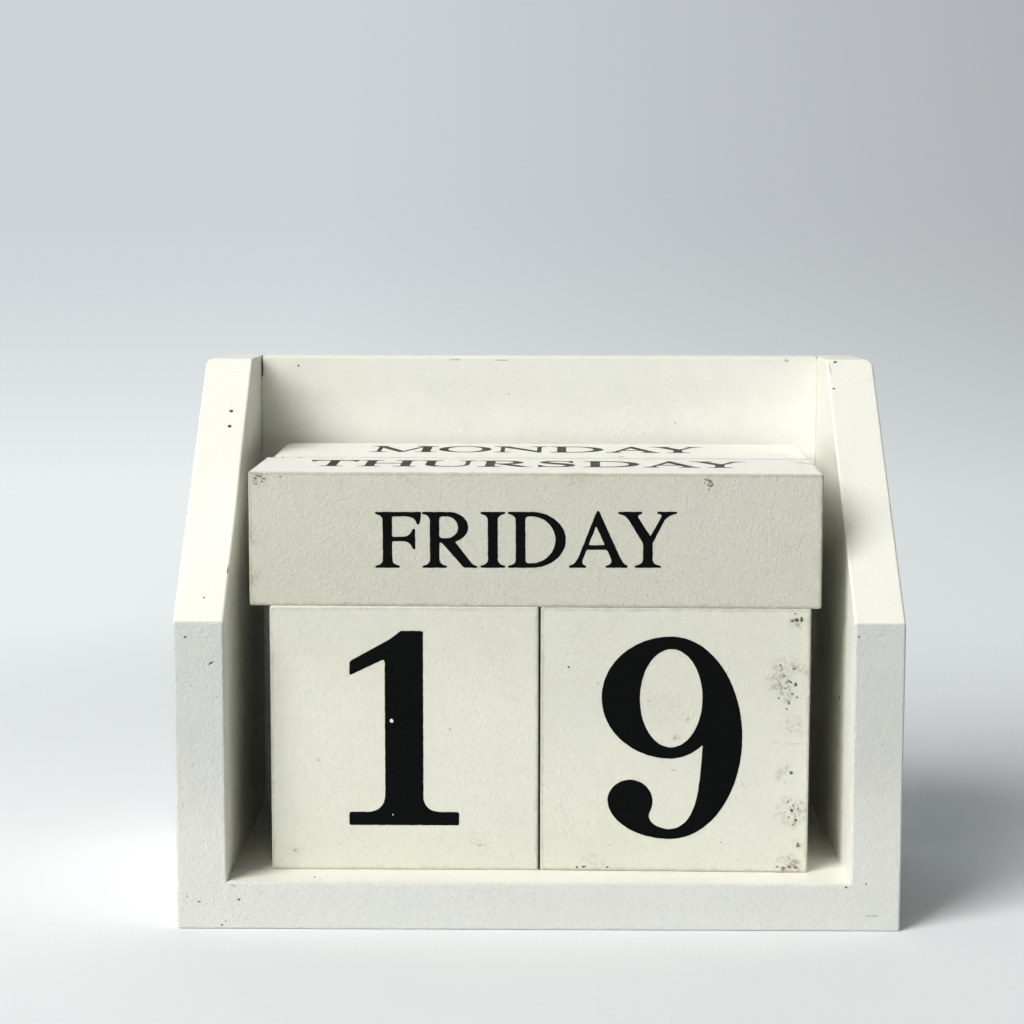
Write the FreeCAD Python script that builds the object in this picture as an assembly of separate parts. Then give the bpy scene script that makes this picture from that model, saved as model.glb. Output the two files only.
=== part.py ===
import FreeCAD, Part
import os
from FreeCAD import Placement, Rotation, Vector

# A block calendar: an open-fronted painted board holder, two number cubes
# standing in it side by side and two square weekday bars lying on the cubes.
# X runs across the front, Y from front to back and Z up. The origin is the
# middle of the underside. All sizes are in millimetres and degrees.

# The loose blocks
cube_size = 50.0              # edge of each number cube
cube_gap = 0.35               # between the two cubes
bar_section = 25.0            # width and nominal height of each weekday bar
front_bar_rises = (0.0, 0.3)  # the bars are sawn a little out of square: this
rear_bar_rises = (0.3, 0.85)  # much higher at the front and back of their tops
bar_gap = 0.4                 # between the two bars
front_bar_left_overhang = 3.8  # past the left face of the tens cube
rear_bar_left_overhang = 2.6
bars_right_overhang = 1.85    # past the right face of the units cube
block_ease = 0.4              # radius rubbed on every block edge
worn_corner = 2.0             # the rear bar's back left corner is worn round

# How the loose blocks stand in the holder
cube_setback = 8.5            # front of the holder to the front of the cubes
bar_setback = 9.6             # front of the holder to the front bar's left end
bars_left_room = 3.6          # left side board to the front bar
bars_right_room = 5.2         # bars to the right side board
back_room = 3.0               # blocks to the back board
units_cube_turn = 1.2         # the right end of the units cube stands forward
bars_turn = 1.2               # the right end of the front bar lies forward
rear_bar_turn = 0.7           # and that of the rear bar

# The holder
side_thickness = 9.3
floor_thickness = 9.0
back_thickness = 9.0
frame_height = 102.8          # at the top of the slope
top_fall = 0.3                # the tops are rubbed down this much to the back
front_height = 57.2           # height of each side board's upright front edge
side_top_depth = 23.0         # flat top of each side board, behind the slope
frame_ease = 0.5              # radius rubbed on the holder's outward edges
top_corner_round = 1.5        # radius worn on the outer edges of the flat tops

# Small faults of the real holder
seam_gap_width = 0.4          # the glue line has opened at the back's left top
seam_gap_height = 4.2
seam_gap_depth = 3.0
pin_hole_width = 0.8          # two pin holes, one above the other, left slope
pin_hole_depth = 2.0
pin_hole_inset = 6.2          # outer face of the board to the holes
pin_hole_rises = (48.6, 52.6)  # up the slope from its lower end

# The brads that fasten the boards, driven from outside and filled over
brad_length = 25.0
brad_wire_width = 1.25        # flat wire, its wide side along the joint
brad_wire_thickness = 1.0
brad_head_width = 2.0
brad_head_height = 0.9
brad_point = 1.8              # length of the chisel point
brad_set = 1.0                # how far the head is punched below the surface
filler_dip = 0.08             # how far the dried filler has shrunk in
brads_per_joint = 3
brad_end_room = 10.0          # end of a joint to its first brad
floor_brad_side_room = 28.0   # side board to the first brad through the back

# Sizes and places that follow from the sizes above
cubes_width = 2 * cube_size + cube_gap
front_bar_length = front_bar_left_overhang + cubes_width + bars_right_overhang
rear_bar_length = rear_bar_left_overhang + cubes_width + bars_right_overhang
bay_width = bars_left_room + front_bar_length + bars_right_room
cubes_reach = cube_setback + cube_size
bars_reach = bar_setback + 2 * bar_section + bar_gap
frame_depth = max(cubes_reach, bars_reach) + back_room + back_thickness
front = -frame_depth / 2
rear = frame_depth / 2
back_front = rear - back_thickness
bay_left = -bay_width / 2
bay_right = bay_width / 2
outer_left = bay_left - side_thickness
outer_right = bay_right + side_thickness
slope_top = rear - side_top_depth
cubes_left = bay_left + bars_left_room + front_bar_left_overhang
cube_top = floor_thickness + cube_size


# Shared shapes

def flat_face(corners):
    return Part.Face(Part.makePolygon(corners + corners[:1]))


def outward_normal(face, point):
    u, v = face.Surface.parameter(point)
    return face.normalAt(u, v)


def is_square_corner(solid, edge):
    # True along an outward corner that is about square, not along an inside
    # corner, a shallow bend or a seam in a round.
    middle = edge.valueAt((edge.FirstParameter + edge.LastParameter) / 2)
    faces = solid.ancestorsOfType(edge, Part.Face)
    first, second = [outward_normal(face, middle) for face in faces]
    if first.dot(second) > 0.5:
        return False
    beside = middle + (first - second) * block_ease
    return not solid.isInside(beside, 0.001, False)


def eased(solid, radius):
    edges = [edge for edge in solid.Edges if is_square_corner(solid, edge)]
    return solid.makeFillet(radius, edges)


# The holder's boards

def top_height(y):
    # The height of the tops at a place behind the slope.
    return frame_height - top_fall * (y - slope_top) / side_top_depth


def side_board_blank(left_x, outer_x):
    # An upright front edge, a slope leaning back above it and a top that is
    # almost flat, with its outer edge worn round.
    corners = [
        Vector(left_x, front, 0),
        Vector(left_x, rear, 0),
        Vector(left_x, rear, top_height(rear)),
        Vector(left_x, slope_top, frame_height),
        Vector(left_x, front, front_height),
    ]
    board = flat_face(corners).extrude(Vector(side_thickness, 0, 0))
    middle = slope_top + side_top_depth / 2
    worn = [edge for edge in board.Edges if edge.CenterOfMass.isEqual(
        Vector(outer_x, middle, top_height(middle)), 0.001)]
    return board.makeFillet(top_corner_round, worn)


def floor_board_blank():
    depth = back_front - front
    corner = Vector(bay_left, front, 0)
    return Part.makeBox(bay_width, depth, floor_thickness, corner)


def back_board_blank():
    corners = [
        Vector(bay_left, back_front, 0),
        Vector(bay_left, rear, 0),
        Vector(bay_left, rear, top_height(rear)),
        Vector(bay_left, back_front, top_height(back_front)),
    ]
    return flat_face(corners).extrude(Vector(bay_width, 0, 0))


def glued_holder(blanks):
    # The boards are glued up, then rubbed down together, so their flush
    # seams keep no groove.
    holder = blanks[0].fuse(blanks[1:]).removeSplitter()
    return eased(holder.Solids[0], frame_ease)


def seam_gap():
    # A crack in the back board's left end, open at its front and its top.
    foot = top_height(back_front) - seam_gap_height
    corner = Vector(bay_left, back_front, foot)
    return Part.makeBox(seam_gap_width, seam_gap_depth, 2 * seam_gap_height, corner)


def pin_holes():
    # Blind holes square to the left board's slope.
    foot = Vector(outer_left + pin_hole_inset, front, front_height)
    up_slope = Vector(0, slope_top - front, frame_height - front_height).normalize()
    into = Vector(0, up_slope.z, -up_slope.y)
    holes = []
    for rise in pin_hole_rises:
        mouth = foot + up_slope * rise - into * pin_hole_depth
        holes.append(Part.makeCylinder(pin_hole_width / 2, 2 * pin_hole_depth, mouth, into))
    return holes


# The brads and their filler

def brad():
    # A T head at z = 0, a flat wire shank below it and a chisel point. The
    # wide side lies along X.
    half_head = brad_head_width / 2
    half_width = brad_wire_width / 2
    half_thickness = brad_wire_thickness / 2
    broad_side = [
        Vector(-half_head, -half_thickness, 0),
        Vector(half_head, -half_thickness, 0),
        Vector(half_head, -half_thickness, -brad_head_height),
        Vector(half_width, -half_thickness, -brad_head_height),
        Vector(half_width, -half_thickness, -brad_length),
        Vector(-half_width, -half_thickness, -brad_length),
        Vector(-half_width, -half_thickness, -brad_head_height),
        Vector(-half_head, -half_thickness, -brad_head_height),
    ]
    narrow_side = [
        Vector(-half_head, -half_thickness, 0),
        Vector(-half_head, half_thickness, 0),
        Vector(-half_head, half_thickness, brad_point - brad_length),
        Vector(-half_head, 0, -brad_length),
        Vector(-half_head, -half_thickness, brad_point - brad_length),
    ]
    tee = flat_face(broad_side).extrude(Vector(0, brad_wire_thickness, 0))
    chisel = flat_face(narrow_side).extrude(Vector(brad_head_width, 0, 0))
    return tee.common(chisel)


def brad_pit(depth):
    # The pit that the punched head leaves above itself, to this depth.
    corner = Vector(-brad_head_width / 2, -brad_wire_thickness / 2, 0)
    return Part.makeBox(brad_head_width, brad_wire_thickness, depth, corner)


def brad_hole():
    return brad().fuse(brad_pit(brad_set)).removeSplitter()


def brad_filler():
    return brad_pit(brad_set - filler_dip)


class BradRow:
    # Brads of one joint, which runs along one direction and is driven in
    # another. Each entry is a place on the outer surface.

    def __init__(self, entries, along, driven):
        self.entries = entries
        self.turn = Rotation(along, Vector(0, 0, 0), -driven, "ZXY")
        self.sink = driven * brad_set

    def copies(self, shape):
        placed = [shape.copy() for entry in self.entries]
        for copy, entry in zip(placed, self.entries):
            copy.Placement = Placement(entry + self.sink, self.turn)
        return placed


def spread(start, end):
    step = (end - start) / (brads_per_joint - 1)
    return [start + step * number for number in range(brads_per_joint)]


def floor_side_row(outer_x, driven):
    height = floor_thickness / 2
    places = spread(front + brad_end_room, back_front - brad_end_room)
    return BradRow([Vector(outer_x, y, height) for y in places], Vector(0, 1, 0), driven)


def back_side_row(outer_x, driven):
    middle = rear - back_thickness / 2
    heights = spread(floor_thickness + brad_end_room, frame_height - brad_end_room)
    return BradRow([Vector(outer_x, middle, z) for z in heights], Vector(0, 0, 1), driven)


def floor_back_row():
    height = floor_thickness / 2
    places = spread(bay_left + floor_brad_side_room, bay_right - floor_brad_side_room)
    entries = [Vector(x, rear, height) for x in places]
    return BradRow(entries, Vector(1, 0, 0), Vector(0, -1, 0))


# The loose blocks

def stood(block, corner, turn):
    # A block is turned about its own front left corner, so that it swings
    # away from the block on its left.
    block.Placement = Placement(corner, Rotation(Vector(0, 0, 1), -turn))
    return block


def number_cube(left, turn):
    cube = Part.makeBox(cube_size, cube_size, cube_size)
    corner = Vector(left, front + cube_setback, floor_thickness)
    return stood(eased(cube, block_ease), corner, turn)


def bar_corner(along, behind):
    # A place beside the front bar's left end, in the turned bars' directions.
    turn = Rotation(Vector(0, 0, 1), -bars_turn)
    corner = Vector(bay_left + bars_left_room, front + bar_setback, cube_top)
    return corner + turn.multVec(Vector(along, behind, 0))


def bar_blank(length, rises):
    # The top may rise towards the back.
    front_height, back_height = (bar_section + rise for rise in rises)
    end = Part.Face(Part.makePolygon([
        Vector(0, 0, 0), Vector(0, bar_section, 0),
        Vector(0, bar_section, back_height), Vector(0, 0, front_height),
        Vector(0, 0, 0)]))
    return end.extrude(Vector(length, 0, 0))


def front_day_bar():
    bar = bar_blank(front_bar_length, front_bar_rises)
    return stood(eased(bar, block_ease), bar_corner(0, 0), bars_turn)


def rear_day_bar():
    # Its right end is about level with the front bar's.
    bar = bar_blank(rear_bar_length, rear_bar_rises)
    back_height = bar_section + rear_bar_rises[1]
    back_left = [edge for edge in bar.Edges if edge.CenterOfMass.isEqual(
        Vector(0, bar_section, back_height / 2), 0.001)]
    bar = bar.makeFillet(worn_corner, back_left)
    shorter = front_bar_length - rear_bar_length
    corner = bar_corner(shorter, bar_section + bar_gap)
    return stood(eased(bar, block_ease), corner, rear_bar_turn)


# The whole calendar

def holder_nodes():
    blanks = {
        "left_side_board": side_board_blank(outer_left, outer_left),
        "right_side_board": side_board_blank(bay_right, outer_right),
        "floor_board": floor_board_blank(),
        "back_board": back_board_blank(),
    }
    rows = {
        "left_floor": floor_side_row(outer_left, Vector(1, 0, 0)),
        "right_floor": floor_side_row(outer_right, Vector(-1, 0, 0)),
        "left_back": back_side_row(outer_left, Vector(1, 0, 0)),
        "right_back": back_side_row(outer_right, Vector(-1, 0, 0)),
        "back_floor": floor_back_row(),
    }
    joined = {
        "left_side_board": ["left_floor", "left_back"],
        "right_side_board": ["right_floor", "right_back"],
        "floor_board": ["left_floor", "right_floor", "back_floor"],
        "back_board": ["left_back", "right_back", "back_floor"],
    }
    faults = {"left_side_board": pin_holes(), "back_board": [seam_gap()]}
    holder = glued_holder(list(blanks.values()))
    hole = brad_hole()
    nodes = {}
    for name, blank in blanks.items():
        holes = [copy for row in joined[name] for copy in rows[row].copies(hole)]
        nodes[name] = holder.common(blank).cut(holes + faults.get(name, []))
    for name, row in rows.items():
        nodes[name + "_brads"] = Part.Compound(row.copies(brad()))
        nodes[name + "_filler"] = Part.Compound(row.copies(brad_filler()))
    return nodes


def block_nodes():
    return {
        "tens_cube": number_cube(cubes_left, 0),
        "units_cube": number_cube(cubes_left + cube_size + cube_gap, units_cube_turn),
        "front_day_bar": front_day_bar(),
        "rear_day_bar": rear_day_bar(),
    }


os.makedirs("parts", exist_ok=True)
for name, shape in {**holder_nodes(), **block_nodes()}.items():
    shape.exportStep("parts/" + name + ".step")
    print(name, len(shape.Solids), "solids,", round(shape.Volume, 1), "mm3, valid", shape.isValid())
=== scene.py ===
import math

import bmesh
import bpy
from mathutils import Matrix, Vector
from mathutils.geometry import delaunay_2d_cdt


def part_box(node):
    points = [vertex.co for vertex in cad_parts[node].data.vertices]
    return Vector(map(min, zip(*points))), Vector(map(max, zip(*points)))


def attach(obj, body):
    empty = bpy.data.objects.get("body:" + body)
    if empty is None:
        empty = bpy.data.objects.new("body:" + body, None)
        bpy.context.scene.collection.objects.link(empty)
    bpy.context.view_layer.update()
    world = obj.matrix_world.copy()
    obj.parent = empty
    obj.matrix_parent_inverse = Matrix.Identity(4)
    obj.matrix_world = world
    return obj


# A painted block calendar. The holder and its loose blocks come from the frame, and
# this script gives them their paint, print and wear, a floor and the light.

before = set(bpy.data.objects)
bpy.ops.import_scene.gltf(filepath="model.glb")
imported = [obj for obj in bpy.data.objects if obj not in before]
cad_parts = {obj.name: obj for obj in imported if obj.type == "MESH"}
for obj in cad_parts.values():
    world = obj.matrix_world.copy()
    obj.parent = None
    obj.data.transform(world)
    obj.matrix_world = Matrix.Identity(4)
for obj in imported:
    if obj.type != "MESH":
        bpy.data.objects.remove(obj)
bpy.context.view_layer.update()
mm = 0.001
scene = bpy.context.scene
scene.view_settings.view_transform = "Standard"
print("frame loaded:", len(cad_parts), "parts")


def addObject(name, data):
    made = bpy.data.objects.new(name, data)
    scene.collection.objects.link(made)
    return made


class Graph:
    # a node tree, and short ways to add to it
    def __init__(self, tree):
        self.tree = tree

    def put(self, socket, value):
        if isinstance(value, bpy.types.NodeSocket):
            self.tree.links.new(value, socket)
        else:
            socket.default_value = value

    def add(self, kind, sockets=None, **settings):
        family = "" if kind.startswith(("Geometry", "Function")) else "ShaderNode"
        made = self.tree.nodes.new(family + kind)
        for name, value in settings.items():
            setattr(made, name, value)
        for name, value in (sockets or {}).items():
            self.put(made.inputs[name], value)
        return made

    def maths(self, operation, a, b=0.0, c=0.0):
        return self.add("Math", {0: a, 1: b, 2: c}, operation=operation).outputs[0]

    def parts(self, vector):
        return self.add("SeparateXYZ", {0: vector}).outputs[:3]


viewpoint = {
    "place": (-0.000871, -0.450675, 0.127364),  # metres
    "lookDown": 6.819,                          # degrees
    "lookAside": 0.558,
    "lean": 0.077,
    "lens": 81.285,
    "sensor": 36.0,
    "clip": (0.01, 20),
}


def addCamera():
    down, aside, lean = (math.radians(viewpoint[k]) for k in ("lookDown", "lookAside", "lean"))
    ahead = Vector((-math.sin(aside) * math.cos(down), math.cos(aside) * math.cos(down), -math.sin(down)))
    level = Vector((math.cos(aside), math.sin(aside), 0))
    upright = level.cross(ahead)
    right = math.cos(lean) * level + math.sin(lean) * upright
    up = -math.sin(lean) * level + math.cos(lean) * upright
    data = bpy.data.cameras.new("viewCamera")
    data.lens, data.sensor_width = viewpoint["lens"], viewpoint["sensor"]
    data.clip_start, data.clip_end = viewpoint["clip"]
    camera = addObject("viewCamera", data)
    turn = Matrix((right, up, -ahead)).transposed().to_4x4()
    camera.matrix_world = Matrix.Translation(viewpoint["place"]) @ turn
    scene.camera = camera


lamps = {
    # degrees to the right of straight in front and above the floor, metres and watts
    "softKey": {"azimuth": -45.0, "height": 41.0, "distance": 2.2, "size": (1.0, 1.85), "power": 57.2,
                "colour": (1.0, 0.99, 0.97)},
    "frontFill": {"azimuth": 0.0, "height": 24.0, "power": 1.9},
    "rearFill": {"azimuth": 180.0, "height": 55.0, "power": 4.7},
}
lampTarget = (0, 0, 0.05)
sky = {
    "colour": (0.97, 0.985, 1.0),
    "strength": 0.03,
    "seenColour": (0.62, 0.66, 0.68),  # what is seen past the paper
}


def addLamp(name, azimuth, height, power, distance=2.0, size=(1.2, 1.2), colour=sky["colour"]):
    aside, above = math.radians(azimuth), math.radians(height)
    away = Vector((math.sin(aside) * math.cos(above), -math.cos(aside) * math.cos(above), math.sin(above)))
    data = bpy.data.lights.new(name, "AREA")
    data.shape = "RECTANGLE"
    data.size, data.size_y = size
    data.energy, data.color = power, colour
    lamp = addObject(name, data)
    lamp.location = Vector(lampTarget) + away * distance
    lamp.rotation_mode = "QUATERNION"
    lamp.rotation_quaternion = (-away).to_track_quat("-Z", "Y")


def addSky():
    world = bpy.data.worlds.new("studioSky")
    scene.world = world
    world.use_nodes = True
    g = Graph(world.node_tree)
    lit = g.tree.nodes["Background"]
    g.put(lit.inputs["Color"], (*sky["colour"], 1))
    g.put(lit.inputs["Strength"], sky["strength"])
    seen = g.add("Background", {"Color": (*sky["seenColour"], 1)})
    rays = g.add("LightPath").outputs["Is Camera Ray"]
    share = g.add("MixShader", {0: rays, 1: lit.outputs[0], 2: seen.outputs[0]})
    g.put(g.tree.nodes["World Output"].inputs["Surface"], share.outputs[0])


stage = {
    "halfWidth": 8.0,          # metres
    "nearEdge": -8.0,
    "bendStart": 0.8,          # behind the calendar, where the floor starts to curve up
    "bendRadius": 0.7,
    "bendSteps": 24,
    "wallTop": 3.0,
    "colour": (0.83, 0.868, 0.881),
    "shaded": 0.965,           # the paper's darker patches, as a share of its colour
    "roughness": 0.85,
    "specular": 0.2,
    "grain": {"strength": 0.09, "depth": 0.0001},  # of the paper's unevenness
    "farNear": (0.19, 0.36),   # where the lit paper gives way to its glowing backdrop, painted shade that darkens upwards and to the right
    "backdropLow": (0.823, 0.871, 0.871),
    "backdropShadeHigh": (0.617, 0.651, 0.680),
    "rise": (0.70, 1.42),      # over which depth and height together the tone darkens, painted shade
    "sideShadeFall": (-0.15, 0.38, 1.0, 0.70),  # painted shade from left to right, and the tone's share there
}


def addStage():
    bend, radius, steps = stage["bendStart"], stage["bendRadius"], stage["bendSteps"]
    section = [(stage["nearEdge"], 0.0), (bend, 0.0)]
    for step in range(1, steps + 1):
        angle = math.radians(90 * step / steps)
        section.append((bend + radius * math.sin(angle), radius * (1 - math.cos(angle))))
    section.append((bend + radius, stage["wallTop"]))
    wide = stage["halfWidth"]
    corners = [(side * wide, y, z) for y, z in section for side in (-1, 1)]
    faces = [(2 * i, 2 * i + 1, 2 * i + 3, 2 * i + 2) for i in range(len(section) - 1)]
    mesh = bpy.data.meshes.new("paperSweep")
    mesh.from_pydata(corners, [], faces)
    mesh.shade_smooth()
    sweep = addObject("paperSweep", mesh)
    return sweep


addCamera()
for name, settings in lamps.items():
    addLamp(name, **settings)
addSky()
sweep = addStage()
print("camera, lamps and stage are in place")

# Finishes. Every pattern is worked out in millimetres on the piece's own coordinates.

patterns = {
    # size in millimetres, detail, roughness, shift and warp of a noise, and for those
    # that are stretched, between which of its values, and what comes out there
    "clouds": ((26.0, 3.0, 0.55, 2.0), (0.35, 0.65)),
    "patches": ((5.5, 3.0, 0.6, 5.0), (0.42, 0.68, 0.0, 0.6)),
    "pores": ((0.42, 2.0, 0.65, 8.0), (0.42, 0.78)),
    "blotches": ((1.5, 3.0, 0.6, 9.0), (0.45, 0.75)),
    "coatBumps": ((0.70, 3.0, 0.6, 13.0),),
    "coatGrain": ((0.34, 1.0, 0.5, 17.0),),
    "coatGloss": ((3.0, 2.0, 0.5, 41.0), (0.3, 0.7, 0.44, 0.6)),
    "border": ((9.0, 3.0, 0.6, 25.0),),
    "seamShade": ((4.0, 3.0, 0.6, 27.0), (0.35, 0.65, 0.1, 0.7)),
    "fray": ((1.6, 3.0, 0.65, 31.0),),
    "clumps": ((3.4, 2.0, 0.6, 35.0, 0.5), (0.40, 0.60, 0.1, 1.0)),
    "specks": ((0.9, 4.0, 0.75, 37.0, 0.6), (0.47, 0.60, 0.12, 1.0)),
    "paperTint": ((180.0, 2.0, 0.5, 3.0), (0.3, 0.7, 0.0, 0.35)),
    "paperGrain": ((1.1, 2.0, 0.6, 4.0),),
    "inkPatches": ((1.9, 3.0, 0.6, 51.0), (0.5, 0.8)),
    "inkPores": ((0.35, 2.0, 0.6, 53.0), (0.45, 0.8, 0.0, 0.5)),
    "tarnish": ((0.9, 3.0, 0.6, 61.0), (0.52, 0.7)),
    "drawnLines": ((0.12, 2.0, 0.5, 63.0, 0.3), (0.3, 0.7, 0.28, 0.4)),
    "fleckTone": ((0.3, 3.0, 0.7, 71.0), (0.3, 0.7)),
    "fleckBumps": ((0.18, 2.0, 0.6, 73.0),),
}


class Finish(Graph):
    # a material whose patterns lie in millimetres from a centre, on axes turned about the vertical
    def __init__(self, name, centre=(0, 0, 0), turn=0.0):
        self.material = bpy.data.materials.new(name)
        self.material.use_nodes = True
        super().__init__(self.material.node_tree)
        self.shader = self.tree.nodes["Principled BSDF"]
        sockets = {"Vector": self.add("TexCoord").outputs["Object"], "Rotation": (0, 0, turn),
                   "Location": tuple(mm * c for c in centre), "Scale": (mm, mm, mm)}
        self.place = self.add("Mapping", sockets, vector_type="TEXTURE").outputs[0]

    def noise(self, name, warp=0.0):
        size, detail, rough, shift, *ownWarp = patterns[name][0]
        sockets = {"Vector": self.place, "W": shift, "Scale": 1 / size, "Detail": detail, "Roughness": rough,
                   "Distortion": ownWarp[0] if ownWarp else warp}
        return self.add("TexNoise", sockets, noise_dimensions="4D").outputs["Fac"]

    def ramp(self, value, low, high, toLow=0.0, toHigh=1.0, kind="SMOOTHSTEP"):
        sockets = {"Value": value, "From Min": low, "From Max": high, "To Min": toLow, "To Max": toHigh}
        return self.add("MapRange", sockets, interpolation_type=kind).outputs["Result"]

    def stretched(self, name, *results):
        return self.ramp(self.noise(name), *patterns[name][1], *results)

    def mix(self, share, first, second, kind="MIX"):
        made = self.add("Mix", data_type="RGBA", blend_type=kind)
        self.put(made.inputs[0], share)
        for socket, value in ((made.inputs[6], first), (made.inputs[7], second)):
            self.put(socket, (*value, 1) if isinstance(value, tuple) else value)
        return made.outputs[2]

    def between(self, share, first, second):
        return self.add("Mix", {0: share, 2: first, 3: second}).outputs[0]

    def spot(self, centre, radius, core=0.25):
        # 1 within the core's share of a radius, fading to 0 at the radius
        far = self.add("VectorMath", {0: self.place, 1: tuple(centre)}, operation="DISTANCE")
        return self.ramp(far.outputs["Value"], radius, radius * core)

    def surface(self, colour, rough, height, specular=0.5, metal=0.0, strength=1.0, depth=mm):
        bump = self.add("Bump", {"Strength": strength, "Distance": depth, "Height": height})
        for name, value in (("Base Color", colour), ("Roughness", rough), ("Metallic", metal),
                            ("Specular IOR Level", specular), ("Normal", bump.outputs[0])):
            self.put(self.shader.inputs[name], value)
        return self.material


def fromScreen(red, green, blue):
    # a colour as a paint chart prints it, 0 to 255, made linear
    return tuple(((v / 255 + 0.055) / 1.055) ** 2.4 if v > 10 else v / 3295 for v in (red, green, blue))


chart = {
    "ivory": (244, 244, 235),
    # the back board's face: lighter low down, painted bounced light, and darker at its top, painted shade
    "panelLitLow": (253, 253, 247),
    "panelShadedHigh": (235, 236, 228),
    "sawnLow": (227, 228, 223),  # bare edges drank the first coats; the darker tone higher up is painted shade
    "sawnShadedHigh": (210, 212, 208),
    "cream": (230, 230, 217),
    # a side's tone that changes with height: painted shade
    "heightShade": (220, 221, 208),
    # tops and bottoms of the blocks painted lighter: painted light
    "litTop": (252, 252, 244),
    "drab": (206, 206, 193),
    "paleWarm": (240, 235, 214),
    "dull": (202, 201, 186),
    "grime": (148, 138, 119),
    # near black inside the pin holes: painted shade
    "holeShade": (14, 13, 12),
    "ink": (5, 7, 7),
    "rubbedInk": (38, 38, 37),
}
paint = {name: fromScreen(*tone) for name, tone in chart.items()}
coat = {
    "warmTint": (1.0, 0.982, 0.945),
    "coolTint": (0.972, 0.982, 0.992),
    "dullTint": (0.70, 0.69, 0.67),
    "blotchShare": 0.6,        # of the dullness that lies in blotches, against that in pores
    "specular": 0.35,
}
skins = {
    # dulled: share of dull paint in the pores; peel and grain: heights in millimetres
    "smooth": {"dulled": 0.05, "peel": 0.12, "grain": 0.06, "warp": 0.2},
    "panel": {"peel": 0.14, "grain": 0.08, "warp": 0.1},
    "sawn": {"dulled": 0.16, "peel": 0.215, "grain": 0.145, "warp": 0.0},
    "cube": {"dulled": 0.12, "peel": 0.175, "grain": 0.085, "warp": 0.2},
    "bar": {"dulled": 0.14, "peel": 0.22, "grain": 0.135, "warp": 0.0},
    "ink": {"peel": 0.175, "grain": 0.085, "warp": 0.5},
}


def coatColour(f, base, warmth, dulled):
    colour = f.mix(f.stretched("clouds", 0.0, warmth), base, coat["warmTint"], "MULTIPLY")
    colour = f.mix(f.stretched("patches"), colour, coat["coolTint"], "MULTIPLY")
    share = f.maths("MULTIPLY_ADD", f.stretched("blotches"), coat["blotchShare"], f.stretched("pores"))
    return f.mix(f.maths("MULTIPLY", share, dulled), colour, coat["dullTint"], "MULTIPLY")


def skinHeight(f, name, relief=1.0):
    # the height of the paint's skin, in millimetres
    skin = skins[name]
    fine = f.maths("MULTIPLY", f.noise("coatGrain"), skin["grain"] * relief)
    return f.maths("MULTIPLY_ADD", f.noise("coatBumps", skin["warp"]), skin["peel"] * relief, fine)


holderLook = {
    "warmth": 0.5,
    "sawnDepth": (0.5, 0.1),           # millimetres behind the front where its face fades in
    "panelDepth": (0.4, 0.1),          # and behind the front of the back board
    "borderSpread": 8.0,               # how far the next two borders wander
    "sawnShadeReach": (16.0, 42.0),         # heights between which the front's grey deepens upwards, painted shade
    "panelShadeReach": (86.0, 101.0),       # and between which the back board goes from painted bounced light low down to painted shade at its top
    "blade": (1.1, 0.9),               # the left board's edge was sawn rougher than the right's
    "seamWidth": 0.35,                 # the joints at the back, where the coat has sunk
    "seamDepth": 0.12,
    "seamFade": 0.1,
    "pinHoles": {"inset": 6.2, "rises": (48.6, 52.6), "depth": 1.15, "reach": 1.3},
    "slopeFoot": 57.2,                 # height at which the side boards start to slope
    "flatDepth": 23.0,                 # of their level tops
}


def slopeFace(board):
    # lower left corner of a side board's slope, rightwards, upwards and outwards
    low, high = (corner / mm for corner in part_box(board))
    foot = Vector((low.x, low.y, holderLook["slopeFoot"]))
    up = Vector((0, high.y - holderLook["flatDepth"] - low.y, high.z - foot.z)).normalized()
    return foot, Vector((1, 0, 0)), up, Vector((0, -up.z, up.y))


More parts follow.
